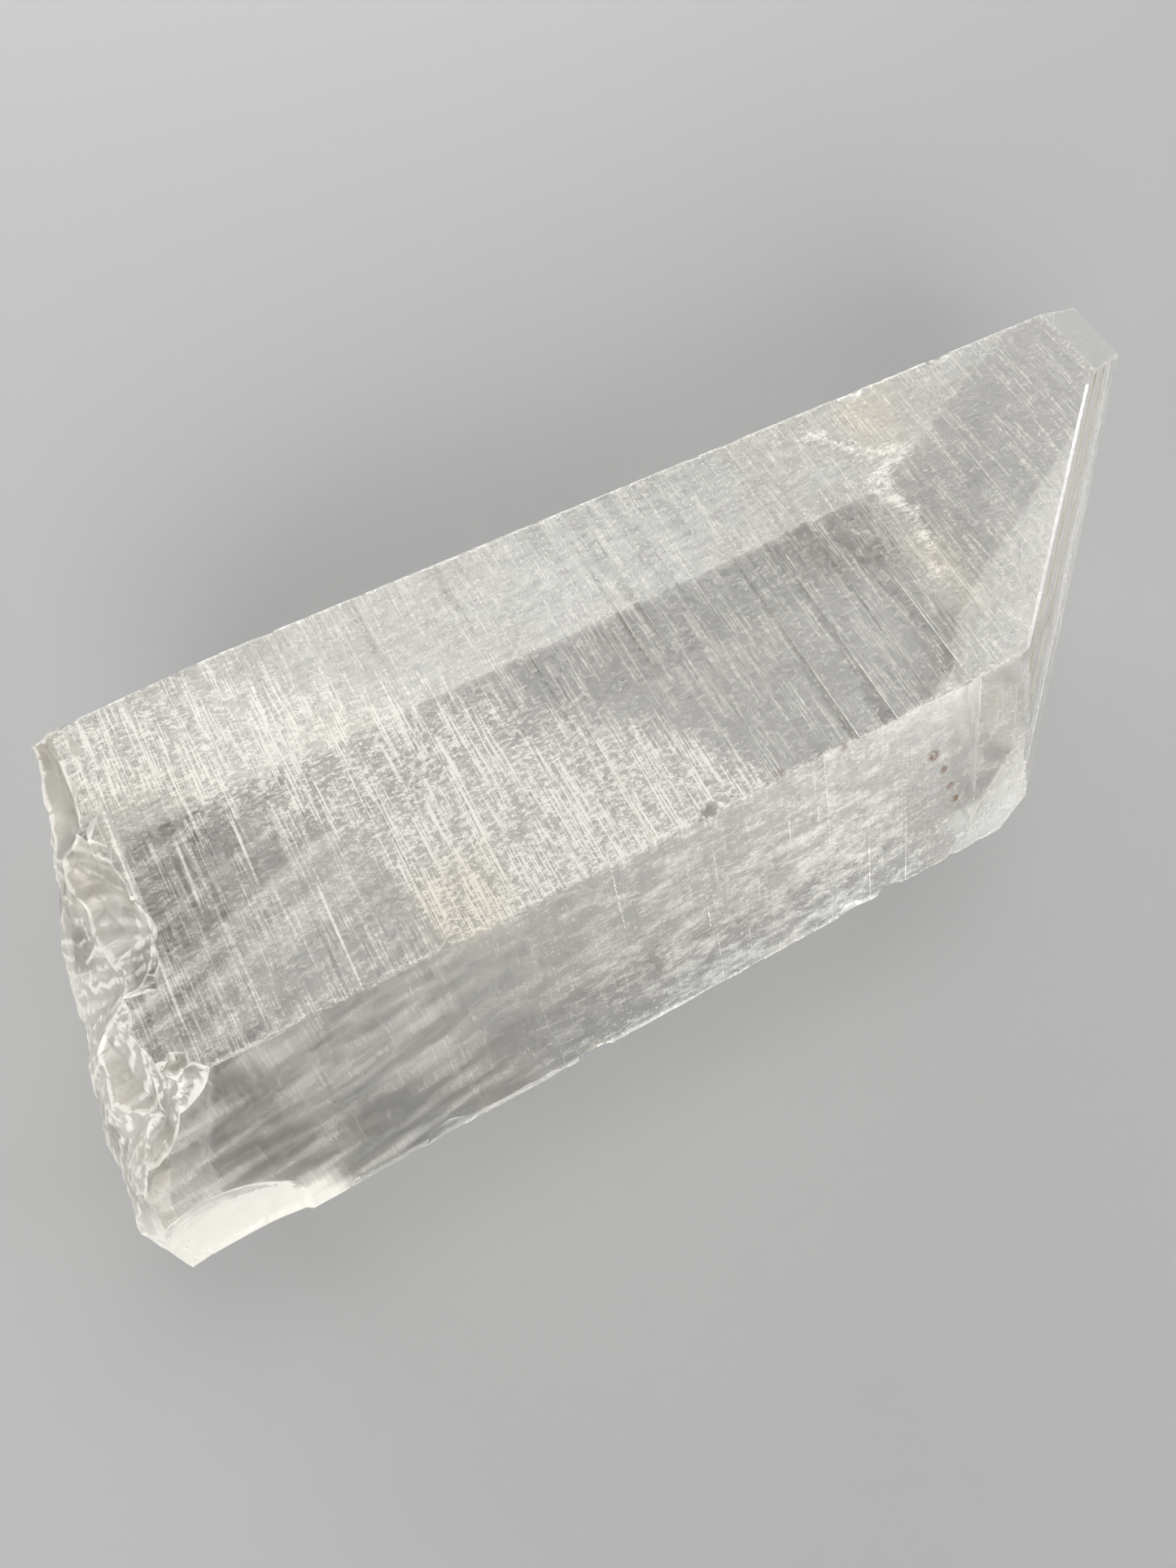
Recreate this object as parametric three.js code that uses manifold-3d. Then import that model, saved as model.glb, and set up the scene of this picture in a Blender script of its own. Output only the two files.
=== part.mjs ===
// A clear quartz crystal point, broken from its base and lying on one of its broad prism faces.
//
// Millimetres, +Z up. The long axis of the crystal (its c axis) runs along X, with the point at +X
// and the broken end at -X. The face that it lies on is in the plane Z = 0, +Y is the far side, and
// the origin is at the middle of the bottom of the bounding box.
//
// The crystal grew as one piece, so it is one solid: a flattened six-sided prism, four sloping end
// faces, steps and growth lines cut into those faces, and a shell-like break at the other end.

import * as THREE from 'three';
import { mergeVertices } from 'three/addons/utils/BufferGeometryUtils.js';
import Module from 'manifold-3d';

const wasm = await Module();
wasm.setup();

// ---------------------------------------------------------------- driving dimensions

const LENGTH = 111.8; // from the break to the tip
const WIDTH = 43.1; // from the near edge to the far edge
const THICKNESS = 30.6; // between the two broad faces
const EDGE_HEIGHT = 15.8; // height of the near and far edges above the lower broad face
const PRISM_TURN = 60; // degrees between neighbouring prism faces, as in every quartz prism

const BREAK_X = -LENGTH / 2;
const NEAR_Y = -WIDTH / 2;
const FAR_Y = WIDTH / 2;
const SIDE_SLOPE = Math.tan(THREE.MathUtils.degToRad(PRISM_TURN));
const UPPER_INSET = (THICKNESS - EDGE_HEIGHT) / SIDE_SLOPE; // from an outer edge to the top face
const LOWER_INSET = EDGE_HEIGHT / SIDE_SLOPE; // from an outer edge to the bottom face

// How far around the long axis each prism face looks, in degrees from +Y towards +Z.
const AROUND = { top: 90, upperNear: 150, lowerNear: 210, bottom: 270, lowerFar: 330, upperFar: 30 };

// The four end faces. lean is the angle between the face's normal and the long axis, which is close
// to the 51.8 degrees of a perfect crystal, and through is a point where the face meets the prism.
const END_FACES = {
  main: { lean: 53.3, around: 148.7, through: [17.8, NEAR_Y + UPPER_INSET, THICKNESS] },
  undersideMain: { lean: 52.4, around: 210.5, through: [15.5, NEAR_Y + LOWER_INSET, 0] },
  top: { lean: 54.5, around: 89.6, through: [39.3, 9.9, THICKNESS] },
  underside: { lean: 55.6, around: 268.9, through: [27.7, 3.1, 0] },
};

const REACH = 160; // size of the blocks that cut the flat faces, larger than the crystal

// ---------------------------------------------------------------- solids and cutting tools

const toSolid = (geometry) => {
  const bare = geometry.clone();
  bare.deleteAttribute('normal');
  bare.deleteAttribute('uv');
  const merged = mergeVertices(bare, 1e-4);
  return new wasm.Manifold(
    new wasm.Mesh({
      numProp: 3,
      vertProperties: new Float32Array(merged.attributes.position.array),
      triVerts: new Uint32Array(merged.index.array),
    }),
  );
};

const toGeometry = (solid) => {
  const mesh = solid.getMesh();
  const geometry = new THREE.BufferGeometry();
  geometry.setAttribute('position', new THREE.BufferAttribute(mesh.vertProperties, 3));
  geometry.setIndex(new THREE.BufferAttribute(mesh.triVerts, 1));
  return geometry;
};

// The outward direction of a face that leans from the long axis and looks around it.
const outward = ({ lean = 90, around }) => {
  const tilt = THREE.MathUtils.degToRad(lean);
  const turn = THREE.MathUtils.degToRad(around);
  return new THREE.Vector3(Math.cos(tilt), Math.sin(tilt) * Math.cos(turn), Math.sin(tilt) * Math.sin(turn));
};

// Turns geometry made about +Z so that +Z looks along a direction, and moves it to a place.
const aim = (geometry, place, direction) => {
  const turn = new THREE.Quaternion().setFromUnitVectors(new THREE.Vector3(0, 0, 1), direction);
  return geometry.applyQuaternion(turn).translate(...place);
};

// Everything outside a flat face.
const beyond = (place, direction) => {
  const block = new THREE.BoxGeometry(REACH, REACH, REACH).translate(0, 0, REACH / 2);
  return toSolid(aim(block, place, direction));
};

// A plug whose lower end is a shallow dish with a few ripples, the shape of a shell-like flake. A
// dish with few sides leaves a flake with a ragged, angular edge.
const DISH_SIDES = 20;
const dish = (place, direction, { radius, depth, ripples = 0, sides = DISH_SIDES }) => {
  const rings = Math.max(3, ripples * 4);
  const profile = [];
  for (let ring = 0; ring <= rings; ring += 1) {
    const out = ring / rings;
    const ripple = ripples ? 0.07 * depth * Math.cos(2 * Math.PI * ripples * out) * out * (1 - out) * 4 : 0;
    profile.push(new THREE.Vector2(out * radius, -depth * (1 - out * out) + ripple));
  }
  profile.push(new THREE.Vector2(radius * 1.3, radius * 0.6));
  profile.push(new THREE.Vector2(0, radius * 0.6));
  const plug = new THREE.LatheGeometry(profile, sides).rotateX(Math.PI / 2);
  return toSolid(aim(plug, place, direction));
};

// ---------------------------------------------------------------- prism and point

const prism = () => {
  const section = new THREE.Shape();
  section.moveTo(NEAR_Y + LOWER_INSET, 0);
  section.lineTo(FAR_Y - LOWER_INSET, 0);
  section.lineTo(FAR_Y, EDGE_HEIGHT);
  section.lineTo(FAR_Y - UPPER_INSET, THICKNESS);
  section.lineTo(NEAR_Y + UPPER_INSET, THICKNESS);
  section.lineTo(NEAR_Y, EDGE_HEIGHT);
  section.closePath();
  const bar = new THREE.ExtrudeGeometry(section, { depth: LENGTH + 10, bevelEnabled: false });
  // The section was drawn in X and Y and drawn out along Z: these now become Y, Z and X.
  const axes = new THREE.Matrix4().makeBasis(
    new THREE.Vector3(0, 1, 0),
    new THREE.Vector3(0, 0, 1),
    new THREE.Vector3(1, 0, 0),
  );
  return toSolid(bar.applyMatrix4(axes).translate(BREAK_X - 2, 0, 0));
};

const cutPoint = (crystal) =>
  Object.values(END_FACES).reduce(
    (solid, face) => solid.subtract(beyond(face.through, outward(face))),
    crystal,
  );

// Growth layers on the main end face stop short of one another, which leaves steps along it. Each
// step takes a skin off the face above a given height.
const MAIN_FACE_STEPS = [
  { above: 28.4, skin: 0.3 },
  { above: 25.3, skin: 0.18 },
  { above: 21.2, skin: 0.08 },
];

const cutMainFaceSteps = (crystal) => {
  const face = END_FACES.main;
  const normal = outward(face);
  return MAIN_FACE_STEPS.reduce((solid, { above, skin }) => {
    const place = new THREE.Vector3(...face.through).addScaledVector(normal, -skin);
    const outside = beyond(place.toArray(), normal);
    const overhead = beyond([0, 0, above], new THREE.Vector3(0, 0, 1));
    return solid.subtract(outside.intersect(overhead));
  }, crystal);
};

// A narrow second face along the top edge of the small end face, and a slight taper of the far top
// edge towards the break.
const cutBevels = (crystal) => {
  const endBevel = beyond([38.9, 9.9, THICKNESS], outward({ lean: 72, around: 89 }));
  const farTaper = beyond([-34.5, FAR_Y - UPPER_INSET, THICKNESS], outward({ lean: 92.4, around: 30 }));
  return crystal.subtract(endBevel).subtract(farTaper);
};

// ---------------------------------------------------------------- growth terraces

// Growth terraces run across the prism faces, square to the long axis. Each is a shallow wedge taken
// off the face from one of its long edges. It ends in a fine ledge, which fades out across the face.
const LEDGE_DEPTH = 0.12;
const TURN_SINE = Math.sin(THREE.MathUtils.degToRad(PRISM_TURN));
const UPPER = {
  half: (THICKNESS - EDGE_HEIGHT) / TURN_SINE / 2,
  y: WIDTH / 2 - UPPER_INSET / 2,
  z: (THICKNESS + EDGE_HEIGHT) / 2,
};
const LOWER = { half: EDGE_HEIGHT / TURN_SINE / 2, y: WIDTH / 2 - LOWER_INSET / 2, z: EDGE_HEIGHT / 2 };

// For each face: its half width, the Y and Z of its middle, where its terraces start and stop along
// the crystal, and how many there are.
const TERRACES = {
  top: { half: WIDTH / 2 - UPPER_INSET, y: 0, z: THICKNESS, from: -47, to: 13, count: 26 },
  upperNear: { ...UPPER, y: -UPPER.y, from: -47, to: 15, count: 13 },
  upperFar: { ...UPPER, from: -46, to: 32, count: 16 },
  lowerNear: { ...LOWER, y: -LOWER.y, from: -48, to: 12, count: 9 },
  lowerFar: { ...LOWER, from: -45, to: 35, count: 10 },
};

// A repeatable spread of values between 0 and 1 that never falls into an even beat.
const scatter = (index, turn) => (index * turn + 0.37) % 1;

// at is the X of the ledge, run is the length of the slope that leads down to it, and length is how
// far it reaches in from the long edge on the given side.
const terrace = (name, { at, run, length, side }) => {
  const { half, y, z } = TERRACES[name];
  const wedge = new THREE.BoxGeometry(run * 2, length * 2, 1)
    .translate(-run, 0, 0.5)
    .rotateX(-side * Math.asin(LEDGE_DEPTH / length))
    .rotateY(Math.asin(LEDGE_DEPTH / run))
    .translate(at, side * half, -LEDGE_DEPTH)
    .rotateX(THREE.MathUtils.degToRad(AROUND[name] - 90))
    .translate(0, y, z);
  return toSolid(wedge);
};

const terracesOn = (name) => {
  const { from, to, count, half } = TERRACES[name];
  return Array.from({ length: count }, (_, index) => {
    const at = THREE.MathUtils.lerp(from, to, (index + 0.7 * scatter(index, 0.618)) / count);
    const run = 0.6 + 1.8 * scatter(index, 0.414);
    const length = half * (0.5 + 1.3 * scatter(index, 0.732));
    return terrace(name, { at, run, length, side: scatter(index, 0.271) < 0.5 ? -1 : 1 });
  });
};

const cutTerraces = (crystal) =>
  Object.keys(TERRACES)
    .flatMap(terracesOn)
    .reduce((solid, wedge) => solid.subtract(wedge), crystal);

// ---------------------------------------------------------------- the broken end

// The break bulges at mid height and falls back to a ragged lip at the top and a plainer one at the
// bottom. Both lines give X across the crystal, as pairs of Y and X.
const BULGE_HEIGHT = 14;
const BULGE = [
  [-21.6, -53.6], [-17.5, -56.1], [-7, -56.1], [0, -55.2], [5, -53.8], [12, -52], [17, -50.4], [21.6, -47.8],
];
const LIP = [
  [-21.6, -49], [-15, -48.8], [-12.8, -46.6], [-10.8, -49.3], [-7.4, -49.1], [-4.6, -46.3],
  [1.2, -46.7], [3.4, -47.8], [12.6, -47.3], [21.6, -48.6],
];
const LOWER_SETBACK = 3.2; // how far the bottom lip stands back from the bulge
const BREAK_STEP = 2; // spacing of the grid that the break is drawn on

const along = (line, y) => {
  const next = Math.max(1, line.findIndex(([at]) => at >= y));
  const [y0, x0] = line[next - 1];
  const [y1, x1] = line[next];
  return THREE.MathUtils.mapLinear(y, y0, y1, x0, x1);
};

const breakX = (y, z) => {
  const across = THREE.MathUtils.clamp(y, NEAR_Y, FAR_Y);
  const bulge = along(BULGE, across);
  if (z < BULGE_HEIGHT) {
    return bulge + LOWER_SETBACK * Math.min(1, (BULGE_HEIGHT - z) / BULGE_HEIGHT) ** 1.8;
  }
  const rise = Math.min(1, (z - BULGE_HEIGHT) / (THICKNESS - BULGE_HEIGHT));
  return THREE.MathUtils.lerp(bulge, along(LIP, across), rise ** 1.5);
};

// The way that the break looks at a place on it.
const breakNormal = (y, z) => {
  const reach = 3;
  const tiltY = (breakX(y + reach, z) - breakX(y - reach, z)) / (2 * reach);
  const tiltZ = (breakX(y, z + reach) - breakX(y, z - reach)) / (2 * reach);
  return new THREE.Vector3(-1, tiltY, tiltZ).normalize();
};

const cutBreak = (crystal) => {
  const width = WIDTH + 6;
  const height = THICKNESS + 6;
  const rows = [Math.round(width / BREAK_STEP), Math.round(height / BREAK_STEP)];
  const waste = new THREE.BoxGeometry(20, width, height, 1, ...rows).translate(0, 0, THICKNESS / 2);
  const place = waste.attributes.position;
  for (let i = 0; i < place.count; i += 1) {
    const outer = place.getX(i) < 0;
    place.setX(i, outer ? BREAK_X - 10 : breakX(place.getY(i), place.getZ(i)));
  }
  return crystal.subtract(toSolid(waste));
};

// Shell-like scars that meet in sharp ridges over the break: where each one is centred on the
// break, how wide and deep it is, and how many ripples it has.
const BREAK_SCARS = [
  { y: 13.5, z: 31.5, radius: 8.5, depth: 0.9, ripples: 2 },
  { y: 1.2, z: 31.2, radius: 5.2, depth: 1, ripples: 2, sides: 9 },
  { y: -3.6, z: 30.8, radius: 3.2, depth: 1, ripples: 1, sides: 7 },
  { y: -9.6, z: 31.5, radius: 6.4, depth: 0.9, ripples: 2, sides: 11 },
  { y: -13.8, z: 28.2, radius: 3.8, depth: 1, ripples: 1, sides: 8 },
  { y: -18.8, z: 21, radius: 4.6, depth: 0.5, ripples: 1 },
  { y: 9.5, z: 17.5, radius: 7.5, depth: 0.8, ripples: 2 },
  { y: -4.5, z: 16.5, radius: 8, depth: 0.9, ripples: 3 },
  { y: -14.5, z: 14, radius: 5, depth: 0.6, ripples: 1 },
  { y: 6.5, z: -2.5, radius: 14, depth: 1.5, ripples: 4 },
  { y: -12, z: -1.5, radius: 10.5, depth: 1.3, ripples: 3 },
  { y: 21.5, z: 13, radius: 8, depth: 0.7, ripples: 2 },
];

// Flakes lost from the prism faces beside the break, and chips along the long edges.
const FLAKES = [
  { place: [-50.4, -20.2, 17.6], around: 160, radius: 5.5, depth: 0.9, ripples: 2 },
  { place: [-47, 8, THICKNESS], around: 88, lean: 106, radius: 5.2, depth: 0.6, ripples: 1, sides: 9 },
  { place: [-47, -1.6, THICKNESS], around: 92, lean: 114, radius: 2.9, depth: 0.5, ripples: 1, sides: 7 },
  { place: [-46.6, -5.2, THICKNESS], around: 96, lean: 122, radius: 1.9, depth: 0.4, ripples: 1, sides: 6 },
  { place: [-46.8, -13.4, THICKNESS - 0.4], around: 124, lean: 118, radius: 2.8, depth: 0.7, sides: 7 },
];

const CHIPS = [
  { place: [0.9, NEAR_Y + 0.2, 16.6], around: 172, radius: 1.7, depth: 0.4 },
  { place: [4.4, NEAR_Y + 0.3, 15.6], around: 188, radius: 1.2, depth: 0.35 },
  { place: [-22.7, NEAR_Y + 0.2, 15.9], around: 180, radius: 1.4, depth: 0.35 },
  { place: [-34.6, NEAR_Y + 0.3, 16.9], around: 166, radius: 2.1, depth: 0.4 },
  { place: [-10.2, -12.9, THICKNESS - 0.1], around: 120, radius: 1.1, depth: 0.25 },
  { place: [18.6, FAR_Y - UPPER_INSET - 0.1, THICKNESS - 0.1], around: 62, radius: 1.5, depth: 0.35 },
  { place: [27.9, FAR_Y - UPPER_INSET - 0.1, THICKNESS - 0.2], around: 58, radius: 1.2, depth: 0.3 },
  { place: [-14.9, FAR_Y - 0.3, 15.2], around: 356, radius: 1.9, depth: 0.4 },
  { place: [9.3, FAR_Y - 0.2, 16.2], around: 2, radius: 1.3, depth: 0.3 },
];

const cutScars = (crystal) => {
  const scars = BREAK_SCARS.map(({ y, z, ...scar }) =>
    dish([breakX(y, z) - scar.depth / 4, y, z], breakNormal(y, z), scar),
  );
  const flakes = [...FLAKES, ...CHIPS].map(({ place, lean, around, ...flake }) =>
    dish(place, outward({ lean, around }), flake),
  );
  return [...scars, ...flakes].reduce((solid, scar) => solid.subtract(scar), crystal);
};

// A three-sided growth pit in the small end face, beside the tip.
const PIT = { place: [50.6, 8.6, 22.1], size: 1.7, depth: 0.7 };

const cutPit = (crystal) => {
  const spike = new THREE.ConeGeometry(PIT.size, PIT.depth * 2, 3).rotateX(-Math.PI / 2);
  return crystal.subtract(toSolid(aim(spike, PIT.place, outward(END_FACES.top))));
};

// ---------------------------------------------------------------- the finished crystal

const steps = [cutPoint, cutMainFaceSteps, cutBevels, cutTerraces, cutBreak, cutScars, cutPit];
const crystal = steps.reduce((solid, step) => step(solid), prism());

const clearQuartz = new THREE.MeshStandardMaterial({ color: 0xdcdad2, roughness: 0.12, metalness: 0 });
clearQuartz.name = 'clear_quartz';

const point = new THREE.Mesh(toGeometry(crystal), clearQuartz);
point.name = 'quartz_point';

const group = new THREE.Group();
group.add(point);

export default group;
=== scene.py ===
# %% [markdown]
# A clear quartz crystal point, broken from its base and lying on one of its broad faces.
# The solid model gives its size, and everything here is worked out in that same frame:
# X runs along the crystal to its point, Z is up, and the crystal lies on Z = 0.

# %% Load the solid model
import math

import bmesh
import bpy
import numpy as np
from mathutils import Matrix, Vector, noise


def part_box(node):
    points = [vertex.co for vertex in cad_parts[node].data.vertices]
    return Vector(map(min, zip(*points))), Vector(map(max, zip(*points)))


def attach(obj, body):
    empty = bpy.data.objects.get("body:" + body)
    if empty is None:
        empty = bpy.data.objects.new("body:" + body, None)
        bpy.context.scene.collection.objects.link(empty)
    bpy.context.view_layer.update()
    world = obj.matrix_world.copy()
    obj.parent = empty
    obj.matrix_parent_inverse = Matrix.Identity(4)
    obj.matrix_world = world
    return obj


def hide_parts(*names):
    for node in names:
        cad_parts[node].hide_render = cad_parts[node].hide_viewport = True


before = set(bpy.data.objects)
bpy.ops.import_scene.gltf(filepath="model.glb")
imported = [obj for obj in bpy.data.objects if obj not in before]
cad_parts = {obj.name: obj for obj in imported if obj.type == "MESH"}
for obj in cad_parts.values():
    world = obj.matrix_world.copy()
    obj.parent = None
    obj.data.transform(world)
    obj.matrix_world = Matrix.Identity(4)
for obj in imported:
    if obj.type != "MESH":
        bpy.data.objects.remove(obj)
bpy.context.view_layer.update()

MM = 0.001  # Blender works in metres, and the sizes below are in millimetres
NODE = "quartz_point"
low, high = (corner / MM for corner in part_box(NODE))
print("solid model:", [round(v, 2) for v in low], [round(v, 2) for v in high])

# %% [markdown]
# Every quartz prism has six faces that turn 60 degrees from one to the next, however flat the
# crystal is. So three sizes give the whole section, and each face is a direction and a distance.
# The same few numbers could be typed for every corner, but planes keep the true crystal angles.

# %% Flat faces
WIDTH = high.y - low.y
THICKNESS = high.z - low.z
EDGE_HEIGHT = 15.8  # height of the near and far edges
SIDE_SLOPE = math.tan(math.radians(60))
UPPER_INSET = (THICKNESS - EDGE_HEIGHT) / SIDE_SLOPE
LOWER_INSET = EDGE_HEIGHT / SIDE_SLOPE
NEAR_Y, FAR_Y = low.y, high.y
UNDER_END_X = 27.7  # where the underside ends and the lower end face starts
FACE_ANGLE = math.radians(60)  # from each prism face to the next

# Each prism face: the way it looks around the long axis, in degrees from +Y towards +Z, and the Y
# and Z of its middle.
UPPER_Y, LOWER_Y = WIDTH / 2 - UPPER_INSET / 2, WIDTH / 2 - LOWER_INSET / 2
UPPER_Z, LOWER_Z = (THICKNESS + EDGE_HEIGHT) / 2, EDGE_HEIGHT / 2
PRISM_FACES = {
    "top": (90, 0, THICKNESS),
    "upper_near": (150, -UPPER_Y, UPPER_Z),
    "lower_near": (210, -LOWER_Y, LOWER_Z),
    "bottom": (270, 0, 0),
    "lower_far": (330, LOWER_Y, LOWER_Z),
    "upper_far": (30, UPPER_Y, UPPER_Z),
}
# Each end face: how far it leans from the long axis, the way it looks around it, and a point on it.
END_FACES = {
    "main": (53.3, 148.7, (17.8, NEAR_Y + UPPER_INSET, THICKNESS)),
    "under_main": (52.4, 210.5, (15.5, NEAR_Y + LOWER_INSET, 0)),
    "small": (54.5, 89.6, (39.3, 9.9, THICKNESS)),
    "under_small": (55.6, 268.9, (UNDER_END_X, 3.1, 0)),
}


def outward(lean, around):
    lean, around = math.radians(lean), math.radians(around)
    return Vector((math.cos(lean), math.sin(lean) * math.cos(around), math.sin(lean) * math.sin(around)))


PLANES = {name: (outward(90, a), Vector((0, y, z))) for name, (a, y, z) in PRISM_FACES.items()}
PLANES.update({name: (outward(lean, a), Vector(p)) for name, (lean, a, p) in END_FACES.items()})
print("flat faces:", len(PLANES))

# %% [markdown]
# The faces of a quartz prism are never mirror flat: they carry growth lines square to the long
# axis, where the crystal built up in thin layers that stopped short of one another. Each line is
# a tiny step down after a gentle slope. A bump map could fake them, but light bends through
# clear quartz, so real steps in the mesh make the streaks inside the crystal as well.

# %% Growth ledges
rng = np.random.default_rng(11)
LEDGE_DEPTH = 0.12
# The upper far face sinks slowly towards the break, from this X on.
TAPER_START = -34.5
TAPER_SLOPE = math.sin(math.radians(2.4))
# For each face: where its broad terraces start and stop along X, and how many there are.
TERRACES = {
    "top": (-47, 13, 26),
    "upper_near": (-47, 15, 13),
    "upper_far": (-46, 32, 16),
    "lower_near": (-48, 12, 9),
    "lower_far": (-45, 35, 10),
}
FINE_LEDGES = {
    "top": 130, "upper_near": 60, "upper_far": 30, "lower_near": 30, "bottom": 50, "lower_far": 50,
}


def half_width(face):
    """Half the width of a prism face."""
    if face in ("top", "bottom"):
        return WIDTH / 2 - (UPPER_INSET if face == "top" else LOWER_INSET)
    height = THICKNESS - EDGE_HEIGHT if face.startswith("upper") else EDGE_HEIGHT
    return height / math.sin(FACE_ANGLE) / 2


def scatter(index, turn):
    """A number from 0 to 1 that looks random, but is spread evenly over the indices."""
    return (index * turn + 0.37) % 1


def terraces(face):
    """Each broad terrace of a face: where it ends, its run, its length across and its side."""
    start, stop, count = TERRACES.get(face, (0, 0, 0))
    half = half_width(face)
    for i in range(count):
        at = start + (stop - start) * (i + 0.7 * scatter(i, 0.618)) / count
        run = 0.6 + 1.8 * scatter(i, 0.414)
        length = half * (0.5 + 1.3 * scatter(i, 0.732))
        yield at, run, length, -1 if scatter(i, 0.271) < 0.5 else 1


def fine_ledges(face):
    """Each fine ledge of a face: where it ends, its run, its depth, its middle and its reach."""
    half = half_width(face)
    for i in range(FINE_LEDGES[face]):
        at = rng.uniform(-54, 50)
        run = rng.uniform(0.15, 0.9)
        deep = rng.uniform(0.015, 0.06) * (0.45 if at > -3 else 1)
        yield at, run, deep, rng.uniform(-half, half), half * rng.uniform(0.15, 0.9)


LEDGES = {face: (list(terraces(face)), list(fine_ledges(face))) for face in PRISM_FACES}


def ledge_depth(face, x, across):
    """How far the face has stepped in at x, for an array of places across it."""
    broad, fine = LEDGES[face]
    half = half_width(face)
    depth = np.zeros_like(across)
    for at, run, length, side in broad:
        if at - run < x <= at:
            slope = (at - x) / run + (half - side * across) / length
            depth = np.maximum(depth, LEDGE_DEPTH * (1 - slope))
    for at, run, deep, middle, reach in fine:
        if at - run < x <= at:
            fade = np.clip(2.5 * (1 - np.abs(across - middle) / reach), 0, 1)
            depth = np.maximum(depth, deep * fade * (1 - (at - x) / run))
    if face == "upper_far" and x < TAPER_START:
        depth = depth + (TAPER_START - x) * TAPER_SLOPE
    return depth


print("ledges:", {face: len(b) + len(f) for face, (b, f) in LEDGES.items()})

# %% [markdown]
# The prism is lofted: a six-sided section is drawn at each place along X where a ledge starts or
# ends, and neighbouring sections are joined by quads. Stretching a single hexagon would be
# shorter to write, but would leave nothing for the light to catch. The corners of each section
# are cut back a little and unevenly, as the edges of a handled crystal are.

# %% Prism
ACROSS = 8  # pieces that each face is divided into across its width
LEDGE_WALL = 0.012  # how far along X a ledge takes to drop
FACE_ORDER = list(PRISM_FACES)


def edge_wear(edge, x):
    """How far the corner between two faces is worn back at x."""
    slow = noise.noise(Vector((x * 0.09, edge * 7.3, 0.5)))
    quick = noise.noise(Vector((x * 0.9, edge * 3.1, 4.5)))
    return 0.07 + 0.16 * max(0, slow) + 0.10 * max(0, quick)


def section(x):
    """The ring of points of the prism's section at x, from each face to the one 60 degrees on."""
    faces = []
    for face in FACE_ORDER:
        normal, middle = PLANES[face]
        across = Vector((0, normal.z, -normal.y))
        half = half_width(face)
        faces.append((normal, middle, across, ledge_depth(face, x, np.array([half, -half]))))
    corners = []
    for (n1, m1, _, sunk1), (n2, m2, _, sunk2) in zip(faces, faces[1:] + faces[:1]):
        d1 = n1.dot(m1) - sunk1[1]
        d2 = n2.dot(m2) - sunk2[0]
        det = n1.y * n2.z - n1.z * n2.y
        corners.append(Vector((0, (d1 * n2.z - d2 * n1.z) / det, (n1.y * d2 - n2.y * d1) / det)))
    ring = []
    for i, (normal, middle, across, _) in enumerate(faces):
        first = (corners[i - 1] - middle).dot(across) - edge_wear(i, x)
        worn = edge_wear((i + 1) % 6, x)
        last = (corners[i] - middle).dot(across) + worn
        places = np.linspace(first, last, ACROSS + 1)
        depths = ledge_depth(FACE_ORDER[i], x, places)
        ring += [(x, *(middle + across * v - normal * d).yz) for v, d in zip(places, depths)]
        back = (normal + faces[(i + 1) % 6][0]).normalized() * 0.268 * worn
        ring.append((x, *(corners[i] - back).yz))
    return ring


def stations():
    """Every X at which the section changes."""
    places = set(np.arange(low.x - 3, high.x + 3, 1.3))
    for broad, fine in LEDGES.values():
        for at, run, *rest in broad + fine:
            places.update((at - run, at, at + LEDGE_WALL))
    ordered = sorted(places)
    keep = ordered[:1]
    for x in ordered[1:]:
        if x - keep[-1] > LEDGE_WALL * 0.9:
            keep.append(x)
    return keep


def loft(rings, name):
    """Joins rings of points into one closed mesh."""
    bm = bmesh.new()
    rows = [[bm.verts.new(p) for p in ring] for ring in rings]
    size = len(rows[0])
    for a, b in zip(rows, rows[1:]):
        for i in range(size):
            bm.faces.new((a[i], a[(i + 1) % size], b[(i + 1) % size], b[i]))
    bm.faces.new(rows[0])
    bm.faces.new(rows[-1])
    bmesh.ops.recalc_face_normals(bm, faces=bm.faces)
    return solid_from(bm, name)


def solid_from(bm, name):
    mesh = bpy.data.meshes.new(name)
    bm.to_mesh(mesh)
    bm.free()
    thing = bpy.data.objects.new(name, mesh)
    bpy.context.scene.collection.objects.link(thing)
    return thing


prism = loft([section(x) for x in stations()], "prism")
print("prism:", len(prism.data.polygons), "faces")

# %% [markdown]
# The point is where four flat end faces meet. They are planes, so a block bisected by each plane
# gives their shared outline exactly. Narrow planes along every edge take the sharpness off, and
# thin layers on the main end face stop in steps that run level along it.

# %% Point
MAIN_STEPS = [(28.4, 0.3), (25.3, 0.18), (21.2, 0.08)]  # above this height, the face is this much lower
FINE_STEPS = 26
EDGE_CUT = 0.05


def cut_away(bm, place, normal):
    """Cuts a convex block by a plane and closes the cut."""
    parts = bm.verts[:] + bm.edges[:] + bm.faces[:]
    cut = bmesh.ops.bisect_plane(bm, geom=parts, plane_co=place, plane_no=normal, clear_outer=True)
    rim = [e for e in cut["geom_cut"] if isinstance(e, bmesh.types.BMEdge)]
    if rim:
        bmesh.ops.contextual_create(bm, geom=rim)


def main_face_depth(z):
    """How far the main end face has stepped in at a height."""
    broad = max([skin for above, skin in MAIN_STEPS if z > above], default=0)
    fine = sum(skin for above, skin in fine_main_steps if z > above)
    return broad + fine * 0.5


fine_main_steps = [(rng.uniform(19.5, 30), rng.uniform(-0.02, 0.03)) for _ in range(FINE_STEPS)]

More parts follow.
